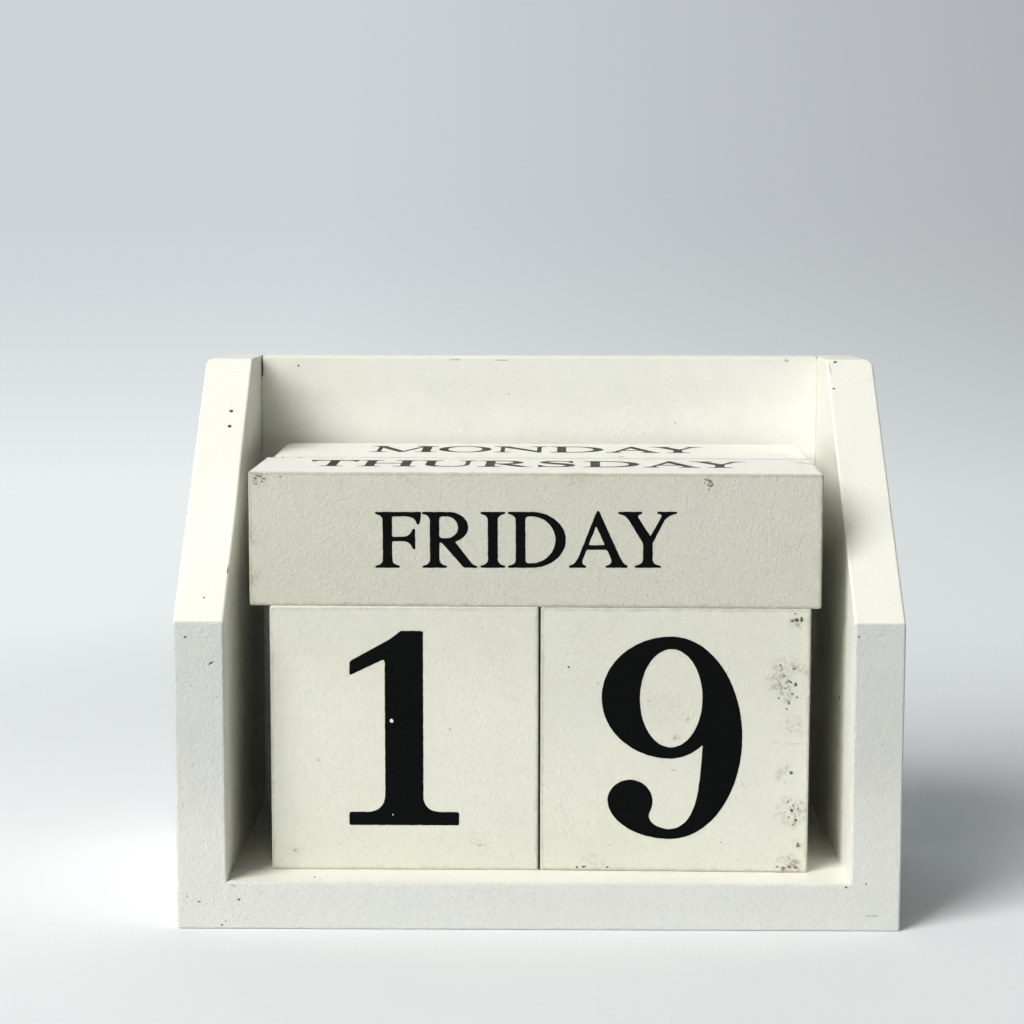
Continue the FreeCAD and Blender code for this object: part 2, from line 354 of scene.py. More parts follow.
def holderPaint(name, relief=1.0, panel=False):
    f = Finish(name)
    low, high = (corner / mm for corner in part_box("left_side_board"))
    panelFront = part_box("back_board")[0].y / mm
    x, y, z = f.parts(f.place)
    sawn = f.ramp(y, *(low.y + depth for depth in holderLook["sawnDepth"]))
    reach = f.maths("MULTIPLY_ADD", f.noise("border"), holderLook["borderSpread"], z)
    if panel:
        inside = f.ramp(y, *(panelFront + depth for depth in holderLook["panelDepth"]))
        # the back board's face is painted lighter low down and darker at its top: painted bounced light and
        # painted shade
        heightShade = f.mix(f.ramp(reach, *holderLook["panelShadeReach"]), paint["panelLitLow"], paint["panelShadedHigh"])
        base = f.mix(inside, paint["ivory"], heightShade)
    else:
        # the fronts are painted darker higher up: painted shade
        edges = f.mix(f.ramp(reach, *holderLook["sawnShadeReach"]), paint["sawnLow"], paint["sawnShadedHigh"])
        base = f.mix(sawn, paint["ivory"], edges)
    least, most = (skins[skin]["dulled"] for skin in ("smooth", "sawn"))
    dulled = f.maths("MULTIPLY_ADD", sawn, most - least, least)
    colour = coatColour(f, base, holderLook["warmth"], dulled)
    fromJoint = f.maths("ABSOLUTE", f.maths("ADD", f.maths("ABSOLUTE", x), high.x))
    behind = f.ramp(y, panelFront - holderLook["seamFade"], panelFront + holderLook["seamFade"])
    seam = f.maths("MULTIPLY", f.ramp(fromJoint, holderLook["seamWidth"], 0.0), behind)
    colour = f.mix(f.maths("MULTIPLY", seam, f.stretched("seamShade")), colour, paint["grime"])
    # the pin holes are painted near black inside: painted shade in the recesses
    foot, across, up, out = slopeFace("left_side_board")
    hole = holderLook["pinHoles"]
    for rise in hole["rises"]:
        middle = foot + across * hole["inset"] + up * rise - out * hole["depth"]
        colour = f.mix(f.spot(middle, hole["reach"]), colour, paint["holeShade"])
    height = skinHeight(f, "smooth", relief)
    if panel:
        height = f.between(inside, height, skinHeight(f, "panel"))
    else:
        blade = f.ramp(x, low.x, -low.x, *holderLook["blade"])
        pitted = f.maths("MULTIPLY", skinHeight(f, "sawn"), blade)
        height = f.between(sawn, height, pitted)
    height = f.maths("MULTIPLY_ADD", seam, -holderLook["seamDepth"], height)
    return f.surface(colour, f.stretched("coatGloss"), height, coat["specular"])


wearAndShade = {
    "borderSpread": 14.0,      # how far the border of the sides' painted shade by height wanders, in millimetres
    "facingUp": (0.4, 0.9),    # how much a face looks up to be a side, and to be a top, which is painted lighter: painted light
    "topDulled": 0.4,          # a top's dullness, as a share of a side's, lower as part of the tops' painted light
    "fray": 1.5,               # how far the rubbed edges wander
    "rubbed": (0.15, -0.75),   # millimetres from the edge, from not at all to fully rubbed
}


def blockPaint(name, block, look):
    f = Finish(name, block.centre, -block.turn)
    upward = f.parts(f.add("NewGeometry").outputs["Normal"])[2]
    x, y, z = f.parts(f.place)
    # a side's tone changes with height: painted shade
    reach = f.maths("MULTIPLY_ADD", f.noise("border"), wearAndShade["borderSpread"], z)
    sides = f.mix(f.ramp(reach, *look["heightShade"]), *(paint[tone] for tone in look["sides"]))
    # tops and bottoms take a lighter, less dull tone: painted light
    flatness = f.ramp(f.maths("ABSOLUTE", upward), *wearAndShade["facingUp"])
    base = f.mix(flatness, sides, paint["litTop"])
    most = skins[look["skin"]]["dulled"]
    dulled = f.ramp(flatness, 0.0, 1.0, most, wearAndShade["topDulled"] * most)
    colour = coatColour(f, base, look["warmth"], dulled)
    ex = f.maths("SUBTRACT", block.half[0], f.maths("ABSOLUTE", x))
    ey = f.maths("SUBTRACT", block.half[1], f.maths("ABSOLUTE", y))
    top = f.maths("SUBTRACT", f.maths("MULTIPLY_ADD", y, block.slope, block.half[2]), z)
    ez = f.maths("MINIMUM", top, f.maths("ADD", z, block.half[2]))
    pairs = [f.maths("MAXIMUM", a, b) for a, b in ((ex, ey), (ey, ez), (ex, ez))]
    edge = f.maths("MINIMUM", f.maths("MINIMUM", pairs[0], pairs[1]), pairs[2])
    frayed = f.maths("MULTIPLY_ADD", f.noise("fray"), -wearAndShade["fray"], edge)
    colour = f.mix(f.ramp(frayed, *wearAndShade["rubbed"], 0.0, look["edge"]), colour, paint["grime"])
    blotch = f.maths("MULTIPLY", f.stretched("clumps"), f.stretched("specks"))
    for side, rows in look["stains"].items():
        origin, across, upwards, _ = block.face(side)
        for right, up, radius, strength, *tone in rows:
            middle = block.inner(origin + across * right + upwards * up)
            share = f.maths("MULTIPLY", f.maths("MULTIPLY", f.spot(middle, radius), strength), blotch)
            colour = f.mix(share, colour, paint[tone[0] if tone else "grime"])
    return f.surface(colour, f.stretched("coatGloss"), skinHeight(f, look["skin"]), coat["specular"])


def paperFinish():
    f = Finish("palePaper")
    shaded = tuple(stage["shaded"] * c for c in stage["colour"])
    colour = f.mix(f.stretched("paperTint"), stage["colour"], shaded)
    f.surface(colour, stage["roughness"], f.noise("paperGrain"), stage["specular"], **stage["grain"])
    here = f.add("TexCoord").outputs["Object"]
    x, y, z = f.parts(here)
    # the backdrop glows, darker higher up and to the right: painted shade
    up = f.ramp(f.maths("ADD", y, z), *stage["rise"])
    tone = f.mix(up, stage["backdropLow"], stage["backdropShadeHigh"])
    backdrop = f.add("Emission", {"Color": tone, "Strength": f.ramp(x, *stage["sideShadeFall"], "LINEAR")})
    away = f.ramp(f.add("VectorMath", {0: here}, operation="LENGTH").outputs["Value"], *stage["farNear"])
    camera, glossy, through = (f.add("LightPath").outputs["Is %s Ray" % kind]
                               for kind in ("Camera", "Glossy", "Transmission"))
    seen = f.maths("MAXIMUM", f.maths("MAXIMUM", camera, glossy), through)
    share = f.maths("MULTIPLY", away, seen)
    shown = f.add("MixShader", {0: share, 1: f.shader.outputs[0], 2: backdrop.outputs[0]})
    f.put(f.tree.nodes["Material Output"].inputs["Surface"], shown.outputs[0])
    return f.material


sweep.data.materials.append(paperFinish())

# The lettering: bracketed capitals for the weekdays and modern figures for the dates,
# drawn from shared widths. Everything is in millimetres on the printed face.

dayType = {
    "capHeight": 10.42,
    "stem": 1.8,
    "thinStem": 0.86,
    "hair": 0.84,
    "serifReach": 1.42,      # from a stem's side to the serif's tip
    "serifTip": 0.4,
    "bracket": 0.95,         # rise of the curve between serif and stem
}
numberType = {
    "height": 36.9,
    "serifTip": 2.54,
    "bracket": 2.7,
    "overshoot": 0.75,       # how far round figures pass the lines
    "ball": 4.25,            # radius of the round ends
}


def bow(start, pull, end, steps=7):
    # a curve from start to end that leans towards pull, without its start
    points = []
    for step in range(1, steps + 1):
        t = step / steps
        points.append(tuple((1 - t) ** 2 * a + 2 * t * (1 - t) * b + t * t * c
                            for a, b, c in zip(start, pull, end)))
    return points


def trace(*run):
    # an outline: two numbers go straight to that point, and four or five are a curve
    # that leans towards the first pair and ends at the second, in that many steps
    points = []
    for step in run:
        if len(step) == 2:
            points.append(step)
        else:
            points += bow(points[-1], step[:2], step[2:4], *step[4:])
    return points


def oval(cx, cy, rx, ry, fromTurn=0, toTurn=360, steps=64):
    # turns in degrees from the right, anticlockwise
    count = steps if abs(toTurn - fromTurn) >= 360 else steps + 1
    turns = [math.radians(fromTurn + (toTurn - fromTurn) * i / steps) for i in range(count)]
    return [(cx + rx * math.cos(a), cy + ry * math.sin(a)) for a in turns]


def disc(cx, cy, radius):
    return [oval(cx, cy, radius, radius, steps=40)]


def flow(perSpan, *points):
    # a smooth run through every point, however many numbers each one has
    ends = (points[0], *points, points[-1])
    run = []
    for a, b, c, d in zip(ends, ends[1:], ends[2:], ends[3:]):
        for i in range(perSpan):
            t = i / perSpan
            run.append(tuple(0.5 * (2 * q + (r - p) * t + (2 * p - 5 * q + 4 * r - s) * t * t
                                    + (3 * q - p - 3 * r + s) * t ** 3)
                             for p, q, r, s in zip(a, b, c, d)))
    return run + [points[-1]]


def pen(perSpan, *points):
    # a stroke whose width changes along it: each point is x, y, width
    run = flow(perSpan, *points)
    sides = []
    for i, (x, y, width) in enumerate(run):
        before, after = run[max(i - 1, 0)], run[min(i + 1, len(run) - 1)]
        dx, dy = after[0] - before[0], after[1] - before[1]
        far = math.hypot(dx, dy)
        nx, ny = -dy / far * width / 2, dx / far * width / 2
        sides.append(((x + nx, y + ny), (x - nx, y - ny)))
    return [[a[0], a[1], b[1], b[0]] for a, b in zip(sides, sides[1:])]


def slab(left, right, foot, head):
    return [(left, foot), (right, foot), (right, head), (left, head)]


def slant(x0, y0, x1, y1, width):
    # a straight stroke whose width is measured level
    half = width / 2
    return [(x0 - half, y0), (x0 + half, y0), (x1 + half, y1), (x1 - half, y1)]


def serif(left, right, tipLeft, tipRight, y, up, kind=dayType):
    # closes the stroke between left and right at height y, with curves into its sides
    tip, rise = kind["serifTip"], kind["bracket"]
    level, joint = y + up * tip, y + up * (tip + rise)
    lean = level + up * 0.12 * rise
    return trace((tipLeft, y), (tipRight, y), (tipRight, level),
                 (right + 0.12 * (tipRight - right), lean, right, joint), (left, joint),
                 (left + 0.12 * (tipLeft - left), lean, tipLeft, level))


cap, thin, hair = dayType["capHeight"], dayType["thinStem"], dayType["hair"]
high, ball = numberType["height"], numberType["ball"]


def stem(x, foot=True, head=True, low=0.0, width=dayType["stem"]):
    # an upright with its serifs, x at its left side
    right, reach = x + width, dayType["serifReach"]
    ends = [(low, 1)] * foot + [(cap, -1)] * head
    return [slab(x, right, low, cap)] + [serif(x, right, x - reach, right + reach, *end) for end in ends]


def arm(x, tipX, y, drop, up=-1):
    # a level hairline whose end is a beak, up 1 for an arm at the foot
    way = 1 if tipX > x else -1
    inner, beak = y + up * hair, y + up * drop
    return trace((x, y), (tipX, y), (tipX - way * 0.4, beak), (tipX - way * 0.88, beak),
                 (tipX - way * 1.15, inner, tipX - way * 2.9, inner), (x, inner))


def midArm(tipX, x=2.0, y=5.38, tall=1.93):
    # the short middle hairline, ending in an upright serif
    low, top = y - hair / 2, y + hair / 2
    return trace((x, low), (tipX - 2.3, low), (tipX - 0.85, low, tipX - 0.48, y - tall),
                 (tipX, y - tall), (tipX, y + tall), (tipX - 0.48, y + tall),
                 (tipX - 0.85, top, tipX - 2.3, top), (x, top))


def bothSerifs(left, right):
    return [serif(left, right, 0, 3.3, 0, 1), serif(left, right, 0, 3.3, cap, -1)]


def roundHole(left, lip, foot, rise, bowl, head=9.58):
    # the inside of a bowl against a stem, its corners a little round
    lower = trace((left, foot + rise), (left + 0.02, foot + 0.02, lip, foot, 4))
    return [lower + bowl + trace((lip, head), (left + 0.02, head - 0.02, left, head - 0.41, 4))]


def vee(x):
    # two slants that meet at the foot, x at the left serif's tip
    top, foot = cap - 0.2, -0.15
    return [[(x + 1.05, top), (x + 3.1, top), (x + 5.9, 1.6), (x + 5.45, foot), (x + 4.95, foot)],
            [(x + 7.55, top), (x + 8.5, top), (x + 5.45, foot), (x + 5.0, 0.4)]]


# the half serif where a thin upright meets a slant
headTick = [trace((0.1, cap), (1.8, cap), (1.62, cap - 1.6), (1.5, cap - 0.5, 0.1, cap - 0.4, 5))]

# The inked shapes of each letter and figure, and further down the holes in them.
drawings = {
    "A": [[(5.24, cap + 0.22), (5.6, cap + 0.22), (10.1, 0.6), (10.1, 0.2), (8.5, 0.2), (5.07, 7.75),
           (2.15, 0.4), (1.2, 0.4)],
          [(3.1, 3.36), (7.4, 3.36), (7.0, 4.22), (3.4, 4.22)],
          trace((0, 0), (3.3, 0), (3.3, 0.4), (2.25, 0.5, 2.6, 1.55), (1.7, 1.75), (1.15, 0.6, 0, 0.4)),
          trace((6.8, 0), (10.95, 0), (10.95, 0.4), (10.2, 0.5, 9.6, 1.75), (7.86, 1.65),
                (8.15, 0.5, 6.8, 0.4))],
    "D": [slab(1.48, 3.28, 0, cap), *bothSerifs(1.48, 3.28),
          [(2.0, 0), (4.4, 0)] + oval(4.4, 5.21, 6.35, 5.21, -90, 90, 44) + [(2.0, cap)]],
    "E": [slab(1.42, 3.2, 0, cap), *bothSerifs(1.42, 3.2), arm(2.0, 8.5, cap, 2.4), midArm(7.3),
          arm(2.0, 9.1, 0, 2.6, up=1)],
    "F": stem(1.42, head=False, width=1.76) + [
        serif(1.42, 3.18, 0.05, 3.3, cap, -1), arm(2.0, 8.65, cap, 2.38), midArm(7.45)],
    "H": stem(1.42) + stem(8.15) + [slab(2.5, 9.0, 4.95, 5.75)],
    "I": stem(1.48, width=1.85),
    "M": stem(1.62, head=False, width=thin) + stem(10.55) + [
        [(0.9, cap), (2.95, cap), (7.3, 1.1), (6.6, -0.05), (6.2, -0.05)],
        slant(11.0, cap - 0.2, 6.7, 0.3, 0.86)] + headTick,
    "N": stem(1.62, head=False, width=thin) + stem(8.98, foot=False, width=thin) + [
        [(1.1, cap), (3.1, cap), (9.84, 1.4), (9.84, -0.15), (9.3, -0.15), (1.62, cap - 1.0)]] + headTick,
    "O": [oval(5.3, cap / 2, 5.3, cap / 2 + 0.16)],
    "R": stem(1.46, head=False, width=1.76) + [
        serif(1.46, 3.22, 0, 3.3, cap, -1),
        [(2.0, 4.72), (4.7, 4.72)] + oval(4.95, 7.57, 3.62, 2.85, -90, 90, 34) + [(2.0, cap)],
        trace((3.35, 5.0), (6.0, 5.0), (8.9, 1.2), (9.5, 0.4, 10.3, 0.3, 6), (10.3, 0), (7.75, 0))],
    "S": pen(6, (6.7, 7.9, 0.5), (6.05, 9.35, 0.7), (4.9, 10.0, 0.8), (3.6, 10.1, 0.84), (1.95, 9.25, 1.3),
             (1.55, 7.75, 1.8), (2.9, 6.25, 2.1), (5.2, 4.9, 2.2), (6.45, 3.3, 1.95), (5.9, 1.3, 1.4),
             (4.3, 0.36, 0.9), (2.9, 0.34, 0.8), (1.5, 1.1, 0.72), (0.75, 2.7, 0.5)) + [
        [(5.7, 9.3), (6.45, cap), (6.85, cap), (7.0, 7.2), (6.5, 7.2), (6.25, 8.6)],
        [(1.6, 1.1), (0.85, -0.05), (0.45, -0.05), (0.3, 3.3), (0.8, 3.3), (1.1, 1.9)]],
    "T": stem(3.85, head=False) + [arm(4.75, 9.5, cap, 2.5), arm(4.75, 0, cap, 2.5)],
    "U": stem(1.42, foot=False, low=3.6) + stem(8.95, foot=False, low=3.6, width=thin) + pen(
        6, (2.32, 3.95, 1.8), (2.4, 2.9, 1.8), (3.0, 1.35, 1.6), (4.4, 0.5, 1.1), (5.8, 0.28, 0.84),
        (7.7, 0.66, 0.84), (8.95, 1.95, 0.86), (9.36, 3.2, 0.86), (9.38, 3.95, 0.86)),
    "W": vee(0) + vee(5.2) + [serif(1.05, 3.1, 0, 4.3, cap, -1), serif(6.25, 8.3, 5.2, 9.3, cap, -1),
                              serif(12.8, 13.65, 11.6, 14.9, cap, -1)],
    "Y": [[(4.62, 0), (6.4, 0), (6.4, 4.7), (4.62, 4.6)], serif(4.62, 6.4, 3.05, 7.95, 0, 1),
          [(1.15, cap - 0.2), (3.2, cap - 0.2), (5.98, 5.85), (8.35, cap - 0.3), (9.25, cap - 0.3),
           (6.4, 4.6), (4.62, 4.5)],
          trace((0, cap), (4.5, cap), (4.5, cap - 0.4), (3.2, cap - 0.42, 3.95, cap - 1.6, 6),
                (1.75, cap - 1.3), (1.2, cap - 0.5, 0, cap - 0.4, 6)),
          trace((7.2, cap), (10.94, cap), (10.94, cap - 0.4), (9.6, cap - 0.45, 8.95, cap - 1.3, 6),
                (8.0, cap - 1.3), (8.55, cap - 0.5, 7.2, cap - 0.4, 6))],
    "0": [oval(13.1, high / 2, 13.1, high / 2 + numberType["overshoot"], steps=96)],
    "1": [trace((0.2, 28.45), (6.64, 31.55), (6.76, 31.4), (6.76, 2.0), (13.91, 2.0), (13.91, high),
                (9.65, high), (8.3, 35.6, 6.86, 34.84, 6), (0.2, 31.15)),
          trace((0, 0), (20.59, 0), (20.59, 2.54), (16.9, 2.54), (14.15, 2.75, 13.91, 5.2, 10),
                (6.76, 5.6), (6.5, 2.85, 3.9, 2.54, 10), (0, 2.54))],
    "2": disc(5.5, 27.6, ball) + pen(
        10, (2.35, 28.6, 2.2), (3.9, 32.6, 2.8), (7.8, 35.9, 2.7), (12.8, 36.35, 2.7), (17.8, 34.1, 5.0),
        (20.7, 28.6, 7.4), (19.4, 22.4, 7.0), (14.5, 15.6, 4.4), (8.0, 8.8, 2.7), (3.0, 3.4, 2.5)) + [
        trace((1.2, 0), (24.2, 0), (25.6, 9.8), (24.2, 9.8), (23.0, 5.6, 18.8, 5.4),
              (14.5, 5.3, 10.2, 6.4), (5.0, 7.2, 1.2, 3.0))],
    "3": disc(5.6, 29.3, ball - 0.35) + disc(5.2, 7.6, ball) + pen(
        10, (2.6, 30.2, 2.0), (4.4, 34.2, 2.6), (8.8, 36.45, 2.5), (14.6, 35.6, 4.4), (18.4, 31.4, 7.0),
        (18.0, 25.6, 6.6), (14.0, 21.2, 3.4), (9.6, 20.0, 2.2), (8.0, 19.9, 2.2)) + pen(
        10, (8.0, 19.9, 2.2), (9.6, 19.8, 2.2), (14.8, 18.6, 3.8), (19.6, 15.0, 7.0), (21.0, 9.6, 7.5),
        (18.2, 3.4, 5.4), (12.6, 0.35, 2.4), (7.0, 0.7, 2.4), (3.3, 3.2, 3.2), (2.1, 6.6, 2.0)),
    "4": [[(14.6, 0.5), (21.75, 0.5), (21.75, 37.2), (19.2, 37.2), (14.6, 31.0)],
          slant(19.4, 37.2, 1.5, 9.9, 2.5), slab(0.1, 26.2, 8.6, 11.2),
          serif(14.6, 21.75, 8.9, 27.4, 0, 1, numberType)],
    "5": disc(5.3, 7.2, ball) + [
        [(4.0, 36.9), (6.0, 36.9), (4.9, 19.6), (2.9, 19.6)],
        trace((4.0, 36.9), (22.8, 37.4), (21.6, 33.2), (19.6, 30.4, 14.2, 30.6),
              (9.6, 30.9, 4.9, 32.2))] + pen(
        10, (3.4, 19.9, 1.4), (7.2, 22.7, 2.2), (12.4, 23.2, 3.4), (17.6, 20.8, 5.8), (20.9, 14.6, 7.6),
        (20.4, 7.6, 7.0), (16.2, 2.0, 4.2), (10.8, 0.4, 2.4), (5.8, 1.1, 2.6), (2.4, 4.4, 2.6),
        (2.0, 6.6, 1.9)),
    "7": [trace((1.8, high), (25.6, high), (25.6, 34.6), (24.9, 33.6, 24.0, 32.6, 4),
                (20.0, 30.6, 14.5, 31.2), (5.6, 32.4, 3.5, 27.0), (2.2, 27.0))] + pen(
        10, (24.4, 34.9, 2.3), (19.8, 27.4, 2.6), (15.2, 18.6, 4.4), (12.6, 9.4, 6.8), (12.2, 0.0, 8.2)),
    "8": [oval(12.7, 28.2, 10.6, 9.45, steps=72), oval(12.7, 9.75, 12.7, 10.5, steps=84)],
    "9": [oval(12.9, 18.47, 13.3, 19.2, 90, -90, 48) + oval(12.9, 6.9, 11.74, 7.64, -92, -176, 20)
          + oval(5.4, 6.35, 4.25, 4.2, 176, -8, 26)
          + flow(5, (9.55, 5.4), (9.1, 4.4), (8.95, 3.35), (9.75, 2.2), (11.1, 1.45), (12.9, 1.16),
                 (14.7, 1.7), (16.4, 3.4), (17.7, 6.6), (18.35, 10.6), (18.7, 14.8), (18.85, 17.25))
          + [(16.0, 22.0), (12.9, 33.0)],
          oval(12.9, 26.13, 12.9, 11.54, 90, 270, 44)
          + bow((12.9, 14.59), (16.4, 14.75), (18.85, 17.25), 10) + [(21.0, 19.0), (21.0, 30.0)]],
}
holes = {
    "D": roundHole(3.28, 4.1, 0.84, 0.41, oval(4.3, 5.21, 4.52, 4.37, -90, 90, 40)),
    "O": [oval(5.3, cap / 2, 3.44, cap / 2 - 0.6)],
    "R": roundHole(3.22, 3.8, 5.52, 0.43, oval(4.5, 7.55, 2.2, 2.03, -90, 90, 30)),
    "0": [oval(13.1, high / 2, 6.0, high / 2 - 1.6, steps=84)],
    "8": [oval(12.7, 28.4, 5.4, 7.0, steps=56), oval(12.7, 9.6, 6.3, 8.1, steps=60)],
    "9": [oval(12.92, 26.02, 5.8, 9.28, steps=64)],
}


def enclosed(loop):
    return sum(a[0] * b[1] - b[0] * a[1] for a, b in zip(loop, loop[1:] + loop[:1])) / 2


def filled(inked, gaps):
    # triangles that fill the shapes less the gaps, on shared points
    points, faces = [], []
    for shape in inked + gaps:
        shape = shape if enclosed(shape) > 0 else shape[::-1]
        faces.append(list(range(len(points), len(points) + len(shape))))
        points += [Vector(point) for point in shape]
    found, _, triangles, _, _, origins = delaunay_2d_cdt(points, [], faces, 1, 1e-5)
    kept = [tuple(t) for t, origin in zip(triangles, origins) if origin and max(origin) < len(inked)]
    kept = [t if enclosed([tuple(found[i]) for i in t]) > 0 else t[::-1] for t in kept]
    return [tuple(p) for p in found], kept


def openSides(triangles):
    # the sides that only one triangle has, always in the same order
    sides = {side for t in triangles for side in zip(t, t[1:] + t[:1])}
    return [(a, b) for a, b in sorted(sides) if (b, a) not in sides]


def rims(points, triangles, least=0.02):
    # the loops round a set of triangles, with the ink on their left
    onward = {}
    for a, b in openSides(triangles):
        onward.setdefault(a, []).append(b)
    loops = []
    while onward:
        start = at = min(onward)
        loop = []
        while at in onward:
            loop.append(points[at])
            following = onward[at].pop()
            if not onward[at]:
                del onward[at]
            at = following
            if at == start:
                break
        if abs(enclosed(loop)) > least:
            loops.append(loop)
    return loops


# The loose blocks, each with its own directions and named faces.

class Block:
    def __init__(self, node, body, turnDegrees=0.0, rises=(0.0, 0.0), ease=0.4):
        # rises say how much the top stands above a square section, at the front and the back
        self.body, self.turn = body, math.radians(turnDegrees)
        low, high = (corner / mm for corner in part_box(node))
        c, s = math.cos(self.turn), math.sin(self.turn)
        eased = ease * (c + s - 1)                # what the eased corners take off the box
        self.deep = high.z - low.z - rises[1]
        self.highs = [self.deep + rise for rise in rises]
        self.slope = (rises[1] - rises[0]) / self.deep
        self.long = ((high.x - low.x) + 2 * eased - self.deep * s) / c
        self.along, self.behind, self.up = Vector((c, -s, 0)), Vector((s, c, 0)), Vector((0, 0, 1))
        self.corner = Vector((low.x - eased, low.y - eased + self.long * s, low.z))
        self.half = (self.long / 2, self.deep / 2, sum(self.highs) / 4)
        self.centre = self.at(*self.half)

    def at(self, along, behind, up):
        return self.corner + self.along * along + self.behind * behind + self.up * up

    def inner(self, point):
        # from the block's middle, along its own directions
        away = point - self.centre
        return away.dot(self.along), away.dot(self.behind), away.dot(self.up)

    def face(self, side):
        # lower left corner, rightwards, upwards and outwards, as the print is read
        a, b, u, deep, long = self.along, self.behind, self.up, self.deep, self.long
        front, back = self.highs
        topwards = (b + u * self.slope).normalized()
        return {
            "front": (self.at(0, 0, 0), a, u, -b),
            "top": (self.at(0, 0, front), a, topwards, a.cross(topwards)),
            "rolledBack": (self.at(0, deep, back), a, -u, b),
            "bottom": (self.at(0, deep, 0), a, -b, -u),
            "back": (self.at(long, deep, 0), -a, u, b),
            "right": (self.at(long, 0, 0), b, u, a),
            "left": (self.at(0, deep, 0), -b, u, -a),
        }[side]


blocks = {
    "tens_cube": Block("tens_cube", "tens_block"),
    "units_cube": Block("units_cube", "units_block", turnDegrees=1.2),
    "front_day_bar": Block("front_day_bar", "front_bar", turnDegrees=1.2, rises=(0.0, 0.3)),
    "rear_day_bar": Block("rear_day_bar", "rear_bar", turnDegrees=0.7, rises=(0.3, 0.85)),
}


def addPiece(name, mesh, body):
    made = addObject(name, mesh)
    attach(made, body)


printLook = {
    "gloss": (0.3, 0.7, 0.37, 0.52),  # between which values of its patches, and how rough there
    "specular": 0.08,
    "strength": 0.7,          # of its relief, against the paint's
    "proud": 0.03,            # millimetres of ink above the paint
    "bed": 0.03,              # and below its surface
    "rounding": (0.5, 0.3),   # how much each pass takes off the corners
    "raggedness": 0.035,
    "raggedPace": 2.2 / 0.7,  # radians of the first wave in a millimetre
    "waves": ((1.0, 0.6, 1.3, 0.35), (-0.7, 1.3, 2.1, 0.3), (1.9, -1.1, 0.7, 0.2), (2.6, 2.2, 3.1, 0.15)),
    "letterStep": 0.2,        # between points round a letter
    "figureStep": 0.32,
}


def wander(x, y, seed):
    # a smooth repeatable unevenness between about -1 and 1
    return sum(math.sin(x * a + y * b + seed * c) * d for a, b, c, d in printLook["waves"])


def resampled(loop, step, fewest=6):
    lengths = [math.dist(a, b) for a, b in zip(loop, loop[1:] + loop[:1])]
    count = max(int(sum(lengths) / step), fewest)
    gap = sum(lengths) / count
    points, i, passed = [], 0, 0.0
    for n in range(count):
        target = n * gap
        while passed + lengths[i] < target:
            passed += lengths[i]
            i += 1
        share = (target - passed) / lengths[i]
        a, b = loop[i], loop[(i + 1) % len(loop)]
        points.append((a[0] + (b[0] - a[0]) * share, a[1] + (b[1] - a[1]) * share))
    return points


def neighbours(points):
    return zip(points[-1:] + points[:-1], points, points[1:] + points[:1])


def inkedRim(loop, step, seed):
    # the screen's corners come out a little round, and its edges a little ragged
    points = resampled(loop, step)
    for weight in printLook["rounding"]:
        points = [tuple(c * (1 - weight) + (a + b) * weight / 2 for a, c, b in zip(before, here, after))
                  for before, here, after in neighbours(points)]
    rim, pace = [], printLook["raggedPace"]
    for before, here, after in neighbours(points):
        dx, dy = after[0] - before[0], after[1] - before[1]
        far = math.hypot(dx, dy) or 1
        push = printLook["raggedness"] * wander(here[0] * pace, here[1] * pace, seed)
        rim.append((here[0] + dy / far * push, here[1] - dx / far * push))
    return rim


class Print:
    # collects thin closed shapes that lie on faces, and makes one mesh of them
    def __init__(self):
        self.corners, self.faces = [], []

    def lay(self, loops, face, right, up, tilt):
        origin, across, upwards, outwards = face
        outer = [loop for loop in loops if enclosed(loop) > 0]
        points, triangles = filled(outer, [loop for loop in loops if enclosed(loop) <= 0])
        c, s = math.cos(tilt), math.sin(tilt)
        flat = [origin + across * (right + x * c - y * s) + upwards * (up + x * s + y * c) for x, y in points]
        first, count = len(self.corners), len(flat)
        self.corners += [p + outwards * printLook["proud"] for p in flat]
        self.corners += [p - outwards * printLook["bed"] for p in flat]
        self.faces += [tuple(first + i for i in t) for t in triangles]
        self.faces += [tuple(first + count + i for i in reversed(t)) for t in triangles]
        self.faces += [(first + b, first + a, first + count + a, first + count + b)
                       for a, b in openSides(triangles)]

    def finish(self, name, material, body):
        mesh = bpy.data.meshes.new(name)
        mesh.from_pydata([p * mm for p in self.corners], [], self.faces)
        mesh.materials.append(material)
        mesh.update()
        addPiece(name, mesh, body)


rimCache = {}


def printGlyph(work, face, name, right, up, seed, tilt=0.0):
    step = printLook["figureStep" if name.isdigit() else "letterStep"]
    if name not in rimCache:
        rimCache[name] = rims(*filled(drawings[name], holes.get(name, [])))
    work.lay([inkedRim(loop, step, seed) for loop in rimCache[name]], face, right, up, tilt)


# Where each face's print starts. A word gives its baseline, its tilt in degrees and the left
# of each letter, so that tight and loose setting can differ. A figure gives left and baseline.
words = {
    "front_day_bar": [
        ("front", "FRIDAY", 7.22, 0.32, (23.5, 32.2, 42.9, 48.05, 59.3, 68.4)),
        ("top", "THURSDAY", 9.9, 0.0, (9.5, 19.1, 30.5, 41.9, 53.0, 61.8, 73.0, 82.2)),
        ("rolledBack", "SATURDAY", 8.1, -0.2, (10.5, 19.4, 30.4, 40.0, 51.3, 61.9, 72.6, 81.9)),
        ("bottom", "SUNDAY", 7.6, 0.1, (20.9, 29.2, 40.7, 52.4, 63.1, 72.3)),
    ],
    "rear_day_bar": [
        ("top", "MONDAY", 9.3, 0.0, (17.9, 31.8, 42.6, 54.1, 65.25, 74.2)),
        ("front", "WEDNESDAY", 7.5, 0.1, (5.0, 19.9, 29.4, 40.4, 51.8, 61.2, 69.1, 79.8, 89.2)),
        ("rolledBack", "TUESDAY", 7.8, -0.1, (14.0, 23.8, 35.3, 44.8, 52.6, 63.2, 72.5)),
    ],
}
